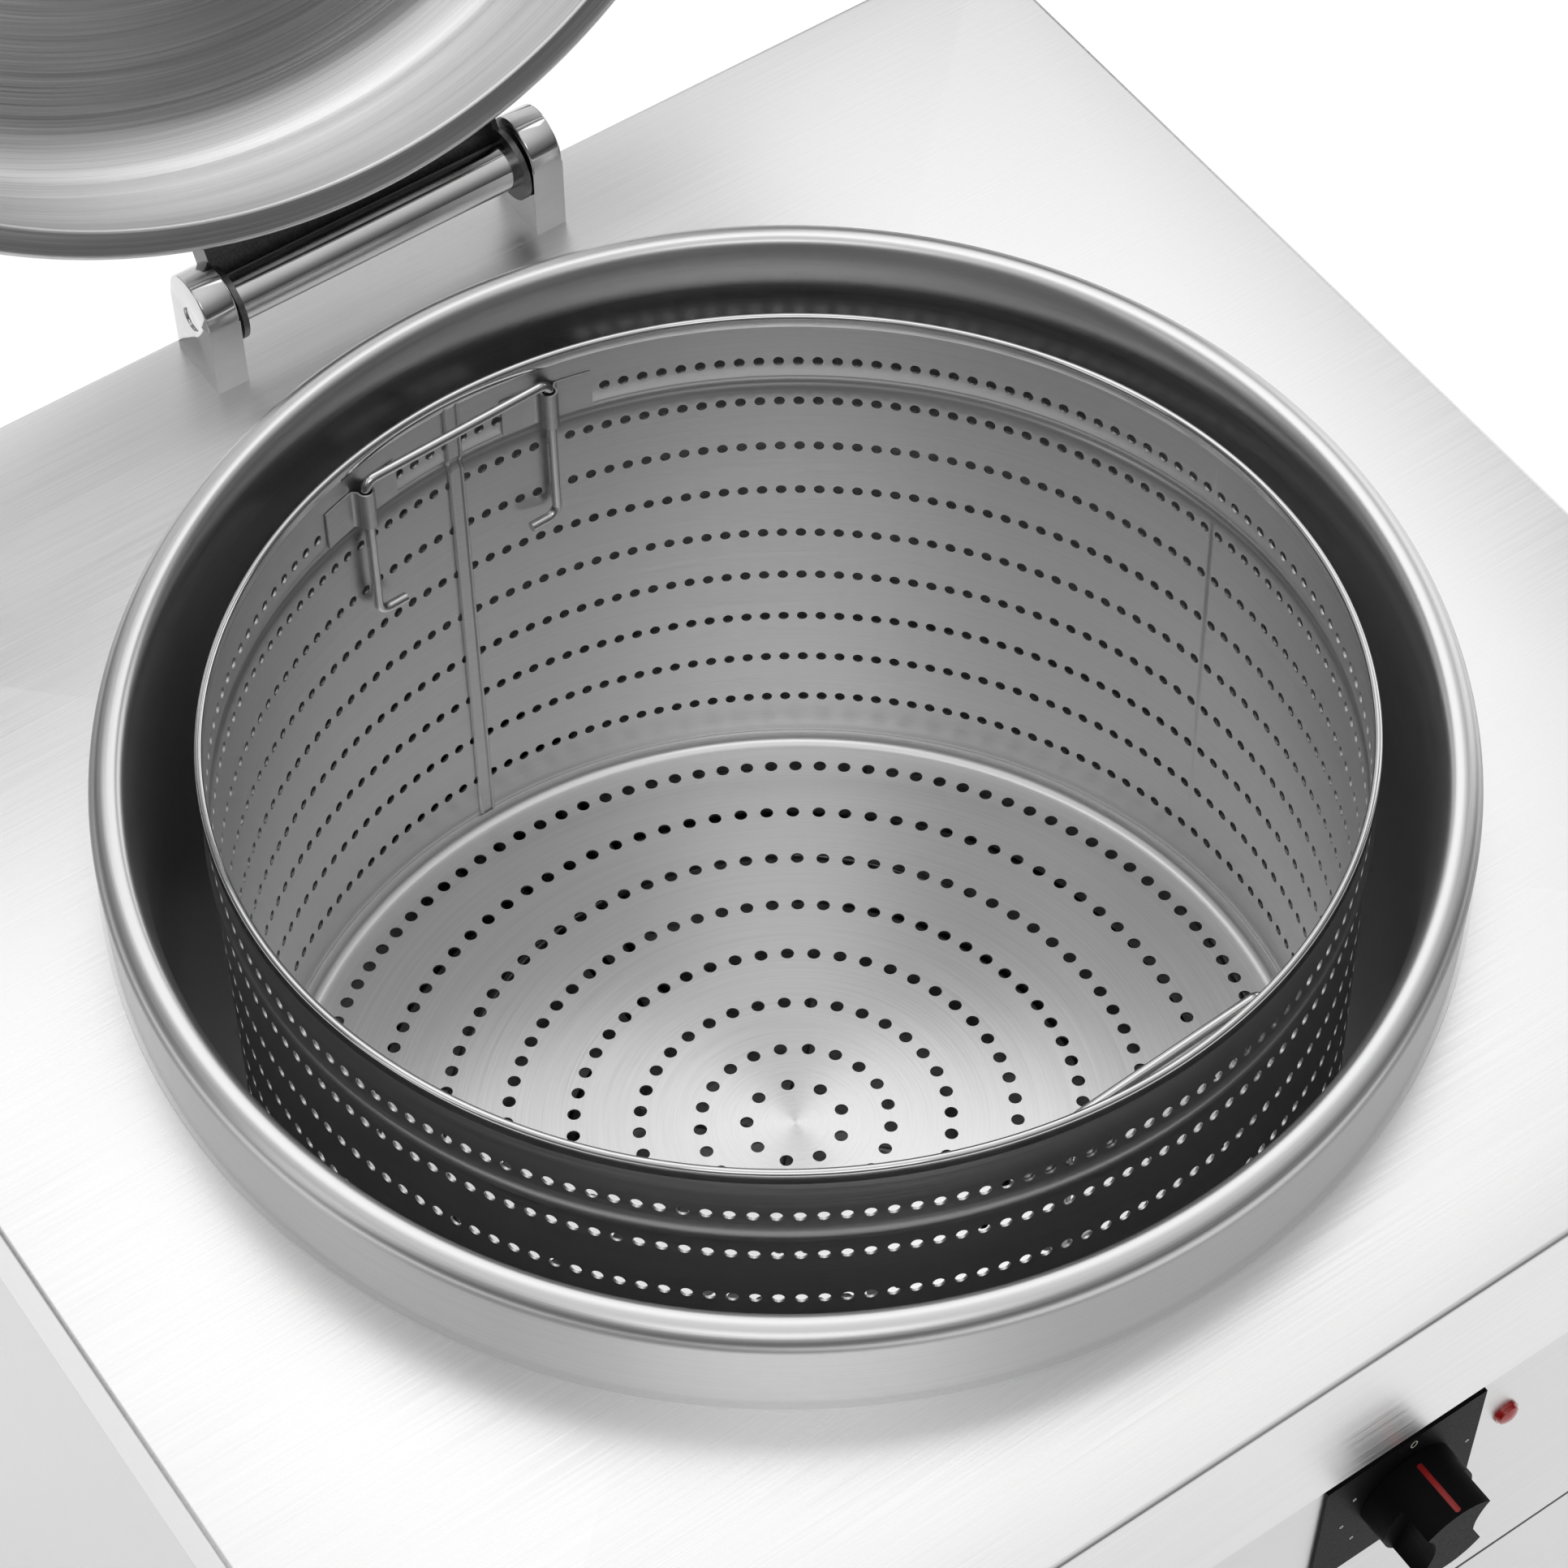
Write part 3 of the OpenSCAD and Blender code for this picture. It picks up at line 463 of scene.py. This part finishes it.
def basket_wall():
    """The drum: nine rows of holes and a rolled bead, cut flat and then bent round."""
    girth = TAU * BASKET_R
    pitch = girth / WALL_HOLES
    low, high = -BASKET_H + 0.002, -0.0025
    steps = WALL_HOLES * 2
    across = [girth * k / steps for k in range(steps + 1)]
    outline = [(x, low) for x in across] + [(x, high) for x in reversed(across)]
    holes = [
        hole((k + 0.5) * pitch, -depth, WALL_HOLE_R) for depth in WALL_ROWS for k in range(WALL_HOLES)
    ]
    bead = [[(x, -WALL_BEAD + BEAD_HALF * step / 3) for x in across] for step in range(-3, 4)]
    flat, faces = perforated(outline, holes, bead)
    front = [around(x / BASKET_R, wall_radius(z), z) for x, z in flat]
    back = [around(x / BASKET_R, wall_radius(z) - SHEET, z) for x, z in flat]
    mesh = sheet_mesh("drum", front, back, faces)
    return finish_piece("basket_drum", mesh, "basket", "basket_steel", ["basket_wall"], BASKET, skin=DRUM_STEEL)


FLOOR_RINGS = [(0.0240, 9), (0.0470, 21), (0.0770, 36), (0.1095, 51), (0.1425, 68), (0.1746, 82), (0.2070, 95),
               (0.2400, 117)]
FLOOR_HOLE_R = 0.0034
FLOOR_FILLET = 0.007


def basket_floor():
    """The floor: eight rings of holes and a small fillet up to the drum."""
    flat_r = BASKET_R - 0.0025 - FLOOR_FILLET
    full_r = flat_r + FLOOR_FILLET * math.pi / 2
    holes = []
    for radius, count in FLOOR_RINGS:
        for k in range(count):
            turn = TAU * (k + 0.5) / count
            holes.append(hole(radius * math.cos(turn), radius * math.sin(turn), FLOOR_HOLE_R, 14))
    rings = [hole(0, 0, flat_r + (full_r - flat_r) * k / 6, 320) for k in range(6)]
    flat, faces = perforated(hole(0, 0, full_r, 320), holes, [ring + ring[:1] for ring in rings])
    front, back = [], []
    for x, y in flat:
        radius = max(math.hypot(x, y), 1e-9)
        bend = max(0.0, radius - flat_r) / FLOOR_FILLET
        bent = min(radius, flat_r) + FLOOR_FILLET * math.sin(bend)
        dimple = -0.0008 * math.exp(-((radius / 0.004) ** 2))
        z = -BASKET_H + 0.0015 + FLOOR_FILLET * (1 - math.cos(bend)) + dimple
        inward, upward = SHEET * math.sin(bend), SHEET * math.cos(bend)
        front.append((x * bent / radius, y * bent / radius, z))
        back.append((x * (bent + inward) / radius, y * (bent + inward) / radius, z - upward))
    mesh = sheet_mesh("floor", front, back, faces)
    # The floor wears the steel that is painted paler (painted light).
    return finish_piece("basket_base", mesh, "basket", "basket_steel", ["basket_floor"], BASKET, skin=BASE_SPUN_PAINTED_LIGHT)


SEAM_TURN = math.radians(89.2)
SEAM_WIDTH = 0.0090
SEAM_SECTION = ((-1, 0), (-1, 0.0012), (-0.85, 0.0019), (-0.65, 0.0019), (-0.5, 0.0009),
                (0.5, 0.0009), (0.65, 0.0019), (0.85, 0.0019), (1, 0.0012), (1, 0))


def basket_seam():
    """The welded strip that closes the drum, pressed over the bead."""
    step = SEAM_WIDTH / 2 / BASKET_R
    heights = [-0.0035, -WALL_BEAD + 2 * BEAD_HALF]
    heights += [-WALL_BEAD + BEAD_HALF * (3 - k) / 3 for k in range(7)]
    heights += [-0.10, -0.16, -0.22, -BASKET_H + 0.010]
    bm = bmesh.new()
    rows = []
    for z in heights:
        inner = wall_radius(z) - SHEET - 0.0001
        row = []
        for side, raised in SEAM_SECTION:
            row.append(bm.verts.new(around(SEAM_TURN + side * step, inner - raised, z)))
        rows.append(row)
    count = len(SEAM_SECTION)
    for high, low in zip(rows, rows[1:]):
        for k in range(count):
            bm.faces.new([high[k], high[(k + 1) % count], low[(k + 1) % count], low[k]])
    bm.faces.new(rows[0])
    bm.faces.new(rows[-1])
    bmesh.ops.recalc_face_normals(bm, faces=bm.faces)
    mesh = bpy.data.meshes.new("seam")
    bm.to_mesh(mesh)
    bm.free()
    return finish_piece("basket_strip", mesh, "basket", "basket_steel", ["basket_seam"], BASKET, 20, DRUM_STEEL)


CLIP_OFF = 0.054
CLIP_WIRE_R = math.hypot(CLIP_OFF, 0.2485)
CLIP_TOP = -0.0165
CLIP_DEEP = 0.0215


def clip_path():
    """Section of a bail clip: a wing, a sleeve round the wire and a second wing. Tangential, inward."""
    reach = BASKET_R - SHEET - 0.0008 - CLIP_WIRE_R
    neck = [(-0.024, 0), (-0.015, 0), (-0.0065, 0), (-0.0050, 0.0004), (-0.0041, 0.0016)]
    loop = [(u, v) for u, v in arc(0, reach, 0.0039, 205, -25, 22)]
    return neck + loop + [(-u, v) for u, v in reversed(neck)]


def basket_clips():
    """Four clips, two for each bail, each pressed round its wire and welded to the drum."""
    path = clip_path()
    wall = BASKET_R - SHEET - 0.0008
    heights = [CLIP_TOP, CLIP_TOP - 0.001, CLIP_TOP - CLIP_DEEP / 2, CLIP_TOP - CLIP_DEEP + 0.001, CLIP_TOP - CLIP_DEEP]
    merged = bmesh.new()
    tilt = math.atan2(CLIP_OFF, 0.2485)
    for side in (0, math.pi):
        for hand in (-1, 1):
            middle = math.pi / 2 + side + hand * tilt

            def place(u, v, z):
                return around(middle + u / wall, wall - v, z)

            part = swept_sheet("clip", path, 0.001, place, heights)
            merged.from_mesh(part)
    mesh = bpy.data.meshes.new("clips")
    merged.to_mesh(mesh)
    merged.free()
    return finish_piece("basket_clips", mesh, "basket", "basket_steel", ["handle_clips"], BASKET, 50, DRUM_STEEL)


def basket_hem():
    """The rolled top edge of the drum."""
    outline = arc(BASKET_R - 0.0006, 0, 0.0019, 0, 180, 8) + arc(BASKET_R - 0.0006, -0.0042, 0.0019, 180, 360, 8)
    mesh = lathe("hem", outline, 320)
    return finish_piece("basket_hem", mesh, "basket", "bright_chrome", ["basket_rim"], BASKET)


# ---- well ----

PORT_R = 0.058
BULB_R = 0.003


def well_shell():
    """The well's sheet: a deep wall with its two ports, a softly rolled crest and the outer skirt."""
    inner, sheet, roll, drop, lip = 0.287, 0.002, 0.010, 0.030, 0.0025
    crest = inner + roll
    top = WELL_HI.z - TOP_Z - roll
    low = WELL_LO.z - TOP_Z
    turns = [math.pi / 2 * k / 20 for k in range(21)]
    fullness = 0.72

    def inner_roll(radius):
        across = [max(math.cos(a), 0.0) ** fullness for a in turns]
        return [
            (crest - radius * u, top - drop + (drop + radius) * math.sin(a) ** fullness)
            for u, a in zip(across, turns)
        ]

    outline = inner_roll(roll) + arc(crest, top, roll, 84, 0, 14) + [(crest + roll, lip)]
    outline += [(crest + roll + sheet, lip), (crest + roll + sheet, 0), (crest + roll - sheet, 0)]
    outline += arc(crest, top, roll - sheet, 0, 84, 12) + inner_roll(roll - sheet)[::-1]
    mesh = lathe("well", outline + [(inner + sheet, low), (inner, low)])
    neck_lo, neck_hi = corner("element_neck")
    bulb_lo, bulb_hi = corner("thermostat_bulb")
    ports = (
        (PORT_R, Vector((WELL.x, WELL.y + 0.2, (neck_lo.z + neck_hi.z) / 2))),
        (BULB_R, Vector((KNOB.x, WELL.y - 0.3, bulb_lo.z + BULB_R))),
    )
    cutters = []
    for radius, start in ports:
        rod = lathe("port", [(0, 0), (radius, 0), (radius, -0.12), (0, -0.12)], 48)
        cutter = bpy.data.objects.new("port", rod)
        cutter.matrix_world = Matrix.Translation(start - WELL) @ Matrix.Rotation(math.pi / 2, 4, "X")
        bpy.context.scene.collection.objects.link(cutter)
        cutters.append(cutter)
    mesh = modified("well", mesh, [("BOOLEAN", {"operation": "DIFFERENCE", "object": c}) for c in cutters])
    for cutter in cutters:
        bpy.data.objects.remove(cutter)
    place = Matrix.Translation(WELL)
    return finish_piece("well_shell", mesh, "cabinet", "inner_steel", ["well"], place, skin=WELL_SPUN)


# ---- lid ----

def lid_pan():
    """The lid's inner pan: rolled edge, lip, skirt, round corner and flat middle, as one spun sheet."""
    edge_r, dish_r, bend, thick = 0.0035, LID_R - 0.015, 0.034, 0.0012
    bead = LID_R - edge_r
    inner = arc(bead, edge_r, edge_r, 90, -90, 12) + arc(dish_r + 0.002, 0.002, 0.002, 270, 180, 4)
    inner += arc(dish_r - bend, LID_DISH - bend, bend, 0, 90, 14) + [(0.15, LID_DISH), (0, LID_DISH)]
    outer = [(0, LID_DISH + thick), (0.15, LID_DISH + thick)]
    outer += arc(dish_r - bend, LID_DISH - bend, bend + thick, 90, 0, 14)
    outer += [(dish_r + thick, 0.0035), (dish_r + 0.004, thick)]
    outer += arc(bead, edge_r, edge_r - thick, -90, 90, 10)
    mesh = lathe("pan", inner + outer)
    # The pan wears the lid steel that is painted paler (painted light).
    return finish_piece("lid_pan", mesh, "lid", "lid_steel", ["lid_inner"], LID, skin=LID_SPUN_PAINTED_LIGHT)


def lid_cover():
    """The lid's outer shell with its round shoulder."""
    radius, height, bend, thick = LID_R - 0.0075, LID_DISH + 0.018, 0.020, 0.0012
    outer = [(radius, thick)] + arc(radius - bend, height - bend, bend, 0, 90, 12) + [(0.15, height), (0, height)]
    inner = [(0, height - thick), (0.15, height - thick)]
    inner += arc(radius - bend, height - bend, bend - thick, 90, 0, 12) + [(radius - thick, thick)]
    mesh = lathe("cover", outer + inner)
    # The cover wears the same lid steel that is painted paler (painted light).
    return finish_piece("lid_cover", mesh, "lid", "lid_steel", ["lid_outer"], LID, skin=LID_SPUN_PAINTED_LIGHT)


# ---- hinge ----

def hinge_block(name):
    """A polished block with a round top, softened edges and a bored cheek."""
    lo, hi = corner(name)
    radius = (hi.y - lo.y) / 2
    middle = (lo.y + hi.y) / 2
    outline = [(lo.y, lo.z), (hi.y, lo.z)]
    outline += arc(middle, hi.z - radius, radius, 0, 180, 24)
    bore = 0.00605
    flat, faces = perforated(outline, [hole(HINGE.y, HINGE.z, bore, 32)])
    bm = bmesh.new()
    front = [bm.verts.new((lo.x, y, z)) for y, z in flat]
    for face in faces:
        bm.faces.new([front[k] for k in face])
    grown = bmesh.ops.extrude_face_region(bm, geom=list(bm.faces))["geom"]
    bmesh.ops.translate(bm, verts=[v for v in grown if isinstance(v, bmesh.types.BMVert)], vec=(hi.x - lo.x, 0, 0))
    bmesh.ops.recalc_face_normals(bm, faces=bm.faces)
    sharp = [e for e in bm.edges if len(e.link_faces) == 2 and e.calc_face_angle() > 0.9]
    sharp = [e for e in sharp if min(v.co.z for v in e.verts) > lo.z + 1e-5]
    bmesh.ops.bevel(bm, geom=sharp, offset=0.0011, segments=3, profile=0.5, affect="EDGES", clamp_overlap=True)
    mesh = bpy.data.meshes.new(name)
    bm.to_mesh(mesh)
    bm.free()
    return finish_piece(name + "_polished", mesh, "cabinet", "bright_chrome", [name])


# ---- worktop ----

def thick_sheet(name, points, faces, thickness):
    """A folded sheet, given thickness under its outer face."""
    bm = bmesh.new()
    verts = [bm.verts.new(p) for p in points]
    for face in faces:
        bm.faces.new([verts[k] for k in face])
    bmesh.ops.remove_doubles(bm, verts=bm.verts, dist=WELD)
    bmesh.ops.recalc_face_normals(bm, faces=bm.faces)
    if max(bm.faces, key=lambda f: f.calc_area()).normal.z < 0:
        bmesh.ops.reverse_faces(bm, faces=bm.faces)
    bmesh.ops.solidify(bm, geom=list(bm.faces), thickness=thickness)
    mesh = bpy.data.meshes.new(name)
    bm.to_mesh(mesh)
    bm.free()
    return mesh



def worktop_top():
    """The folded top: a flat with the well's opening, bent edges and aprons."""
    bend, steps = 0.003, 5
    front = corner("worktop")[0].z
    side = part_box("left_side_panel")[1][2] + 0.0003
    lo, hi = TOP_LO, TOP_HI
    turn = 0.0035

    def outline(inset):
        corners = [(hi.x, lo.y, -90), (hi.x, hi.y, 0), (lo.x, hi.y, 90), (lo.x, lo.y, 180)]
        made = []
        for x, y, start in corners:
            cx = x - math.copysign(turn, x)
            cy = y - math.copysign(turn, y)
            made += arc(cx, cy, turn - inset, start, start + 90, 4)
        return made

    flat_edge = outline(bend)
    flat, faces = perforated(flat_edge, [hole(WELL.x, WELL.y, 0.300, 192)])
    points = [Vector((x, y, TOP_Z)) for x, y in flat]

    def ring(inset, z):
        first = len(points)
        points.extend(Vector((x, y, z)) for x, y in outline(inset))
        return list(range(first, len(points)))

    rings = [ring(bend, TOP_Z)]
    for k in range(1, steps + 1):
        a = math.pi / 2 * k / steps
        rings.append(ring(bend * (1 - math.sin(a)), TOP_Z - bend * (1 - math.cos(a))))
    rings.append(ring(0, side))
    count = len(flat_edge)
    for high, low in zip(rings, rings[1:]):
        faces += [[high[k], high[(k + 1) % count], low[(k + 1) % count], low[k]] for k in range(count)]
    low = ring(0, front)
    for k in range(count):
        n = (k + 1) % count
        if max(points[low[k]].y, points[low[n]].y) < lo.y + turn + 1e-5:
            faces.append([rings[-1][k], rings[-1][n], low[n], low[k]])
    used = sorted({k for f in faces for k in f})
    order = {k: n for n, k in enumerate(used)}
    points = [points[k] for k in used]
    faces = [[order[k] for k in f] for f in faces]
    mesh = thick_sheet("top", points, faces, 0.002)
    return finish_piece("worktop_top", mesh, "cabinet", "worktop_steel", ["worktop"], angle=50)


# ---- controls ----

KNOB_R = (KNOB_HI.x - KNOB_LO.x) / 2
KNOB_LONG = KNOB_HI.y - KNOB_LO.y
KNOB_SKIRT = 0.016
KNOB_PLACE = Matrix.Translation((KNOB.x, KNOB_HI.y, KNOB.z)) @ Matrix.Rotation(math.pi / 2, 4, "X")


def knob_body():
    """The knob: a round skirt with a thick grip, hollowed on both sides for the fingers."""
    drum = lathe("knob", [(0, 0), (KNOB_R, 0), (KNOB_R, KNOB_LONG), (0, KNOB_LONG)], 96)
    cutters = []
    for side in (-1, 1):
        shape = lathe("hollow", [(0, KNOB_SKIRT), (0.027, KNOB_SKIRT), (0.027, 0.05), (0, 0.05)], 96)
        shape.transform(Matrix.Translation((side * 0.038, 0, 0)))
        cutter = bpy.data.objects.new("hollow", shape)
        bpy.context.scene.collection.objects.link(cutter)
        cutters.append(cutter)
    cuts = [("BOOLEAN", {"operation": "DIFFERENCE", "object": cutter}) for cutter in cutters]
    soft = ("BEVEL", {"width": 0.0013, "segments": 3, "limit_method": "ANGLE", "angle_limit": math.radians(40)})
    mesh = modified("knob", drum, cuts + [soft])
    for cutter in cutters:
        bpy.data.objects.remove(cutter)
    return finish_piece("knob_body", mesh, "knob", "black_plastic", ["control_knob"], KNOB_PLACE, 30)


def knob_pointer():
    """A red bar let into the top end of the grip, from the skirt to the face."""
    half, start, stop = 0.0021, 0.004, KNOB_LONG - 0.0006
    section = arc(0, 0, half, 0, 180, 8) + [(-half, -0.001), (half, -0.001)]
    bm = bmesh.new()
    rings = []
    for depth, swell in ((start, 0.3), (start + 0.001, 1), (stop - 0.0015, 1), (stop, 0.3)):
        rings.append([bm.verts.new((x * swell, KNOB_R - 0.0012 + y * 0.8 * swell, depth)) for x, y in section])
    for low, high in zip(rings, rings[1:]):
        for k in range(len(section)):
            n = (k + 1) % len(section)
            bm.faces.new([low[k], low[n], high[n], high[k]])
    bm.faces.new(rings[0])
    bm.faces.new(rings[-1])
    bmesh.ops.recalc_face_normals(bm, faces=bm.faces)
    mesh = bpy.data.meshes.new("pointer")
    bm.to_mesh(mesh)
    bm.free()
    return finish_piece("knob_pointer", mesh, "knob", "red_plastic", (), KNOB_PLACE, 60)


DIAL_R = 0.036


def dial_marks():
    """A zero over the knob and small dots round it, printed on the plate."""
    bm = bmesh.new()

    def stroke(path, width):
        sides = []
        for k, point in enumerate(path):
            before = Vector(path[(k - 1) % len(path)])
            after = Vector(path[(k + 1) % len(path)])
            run = (after - before).normalized() * width / 2
            sides.append(((point[0] - run.y, point[1] + run.x), (point[0] + run.y, point[1] - run.x)))
        loops = []
        for level in (-0.0002, 0.00012):
            loops.append([[bm.verts.new((x, y, level)) for x, y in side] for side in sides])
        for k in range(len(path)):
            n = (k + 1) % len(path)
            (a, b), (c, d) = loops[0][k], loops[0][n]
            (e, f), (g, h) = loops[1][k], loops[1][n]
            for face in ((a, c, d, b), (e, f, h, g), (a, e, g, c), (b, d, h, f)):
                bm.faces.new(face)

    zero = [(0.0017 * math.cos(TAU * k / 24), DIAL_R + 0.0024 * math.sin(TAU * k / 24)) for k in range(24)]
    stroke(zero, 0.0005)
    for degrees in (60, 95, 130, 165, 200, 235, 270):
        turn = math.pi / 2 + math.radians(degrees)
        centre = Vector((DIAL_R * math.cos(turn), DIAL_R * math.sin(turn)))
        dot = [tuple(centre + Vector((math.cos(TAU * k / 12), math.sin(TAU * k / 12))) * 0.0008) for k in range(12)]
        stroke(dot, 0.0005)
    bmesh.ops.recalc_face_normals(bm, faces=bm.faces)
    mesh = bpy.data.meshes.new("marks")
    bm.to_mesh(mesh)
    bm.free()
    place = Matrix.Translation((KNOB.x, PLATE_LO.y, KNOB.z)) @ Matrix.Rotation(math.pi / 2, 4, "X")
    return finish_piece("dial_marks", mesh, "cabinet", "light_plastic", (), place, 60)


def light():
    """A broad soft box overhead, weaker ones all round, and a surround that brightens upwards."""
    def lamp(name, place, aim, size, power):
        data = bpy.data.lights.new(name, "AREA")
        data.shape = "RECTANGLE"
        data.size, data.size_y = size
        data.energy = power
        made = bpy.data.objects.new(name, data)
        made.location = place
        made.rotation_mode = "QUATERNION"
        made.rotation_quaternion = (Vector(aim) - Vector(place)).to_track_quat("-Z", "Y")
        bpy.context.scene.collection.objects.link(made)

    lamp("overhead", (0.8, 1.9, 3.6), (0, 0, 0.9), (3.6, 3.0), 27)
    lamp("behind", (-1.4, -2.2, 3.8), (0, 0, 0.9), (2.2, 1.4), 11)
    lamp("left", (-3.4, 0.6, 2.4), (0, 0, 0.9), (1.2, 2.4), 7)
    lamp("right", (3.4, 0.8, 1.7), (0, 0, 0.9), (2.4, 1.8), 16)
    lamp("rear", (0.6, 3.8, 1.9), (0, 0, 0.9), (2.6, 1.4), 11)

    world = bpy.data.worlds.new("surround")
    bpy.context.scene.world = world
    world.use_nodes = True
    tree = world.node_tree
    tree.nodes.clear()
    place = tree.nodes.new("ShaderNodeTexCoord")
    parts = tree.nodes.new("ShaderNodeSeparateXYZ")
    ramp = tree.nodes.new("ShaderNodeValToRGB")
    stops = ((0.0, 0.30), (0.47, 0.20), (0.60, 0.06), (0.78, 0.30), (1.0, 0.90))
    while len(ramp.color_ramp.elements) < len(stops):
        ramp.color_ramp.elements.new(0.5)
    for stop, (where, value) in zip(ramp.color_ramp.elements, stops):
        stop.position = where
        stop.color = (value, value, value, 1)
    half = tree.nodes.new("ShaderNodeMapRange")
    half.inputs["From Min"].default_value = -1
    seen = tree.nodes.new("ShaderNodeBackground")
    seen.inputs["Color"].default_value = (1, 1, 1, 1)
    studio = tree.nodes.new("ShaderNodeBackground")
    rays = tree.nodes.new("ShaderNodeLightPath")
    mix = tree.nodes.new("ShaderNodeMixShader")
    out = tree.nodes.new("ShaderNodeOutputWorld")
    tree.links.new(place.outputs["Generated"], parts.inputs[0])
    tree.links.new(parts.outputs["Z"], half.inputs["Value"])
    tree.links.new(half.outputs["Result"], ramp.inputs["Fac"])
    tree.links.new(ramp.outputs["Color"], studio.inputs["Color"])
    tree.links.new(rays.outputs["Is Camera Ray"], mix.inputs["Fac"])
    tree.links.new(studio.outputs[0], mix.inputs[1])
    tree.links.new(seen.outputs[0], mix.inputs[2])
    tree.links.new(mix.outputs[0], out.inputs["Surface"])


def floor():
    mesh = bpy.data.meshes.new("ground")
    reach = 9.0
    mesh.from_pydata([(-reach, -reach, 0), (reach, -reach, 0), (reach, reach, 0), (-reach, reach, 0)], [], [(0, 1, 2, 3)])
    ground = bpy.data.objects.new("ground", mesh)
    bpy.context.scene.collection.objects.link(ground)
    graph = Graph("pale floor")
    graph.set(Roughness=0.9)
    graph.tone(graph.noise(graph.coordinates(), 3.0), (0.93, 0.93, 0.93), (0.95, 0.95, 0.95))
    graph.set(Emission_Color=(1, 1, 1, 1), Emission_Strength=0.35)
    mesh.materials.append(graph.material)


make_camera()
dress_cad()
worktop_top()
basket_wall()
basket_floor()
basket_hem()
basket_seam()
basket_clips()
well_shell()
lid_pan()
lid_cover()
for block in ("left_hinge_block", "right_hinge_block"):
    hinge_block(block)
knob_body()
knob_pointer()
dial_marks()
light()
floor()
bpy.context.scene.view_settings.view_transform = "Standard"
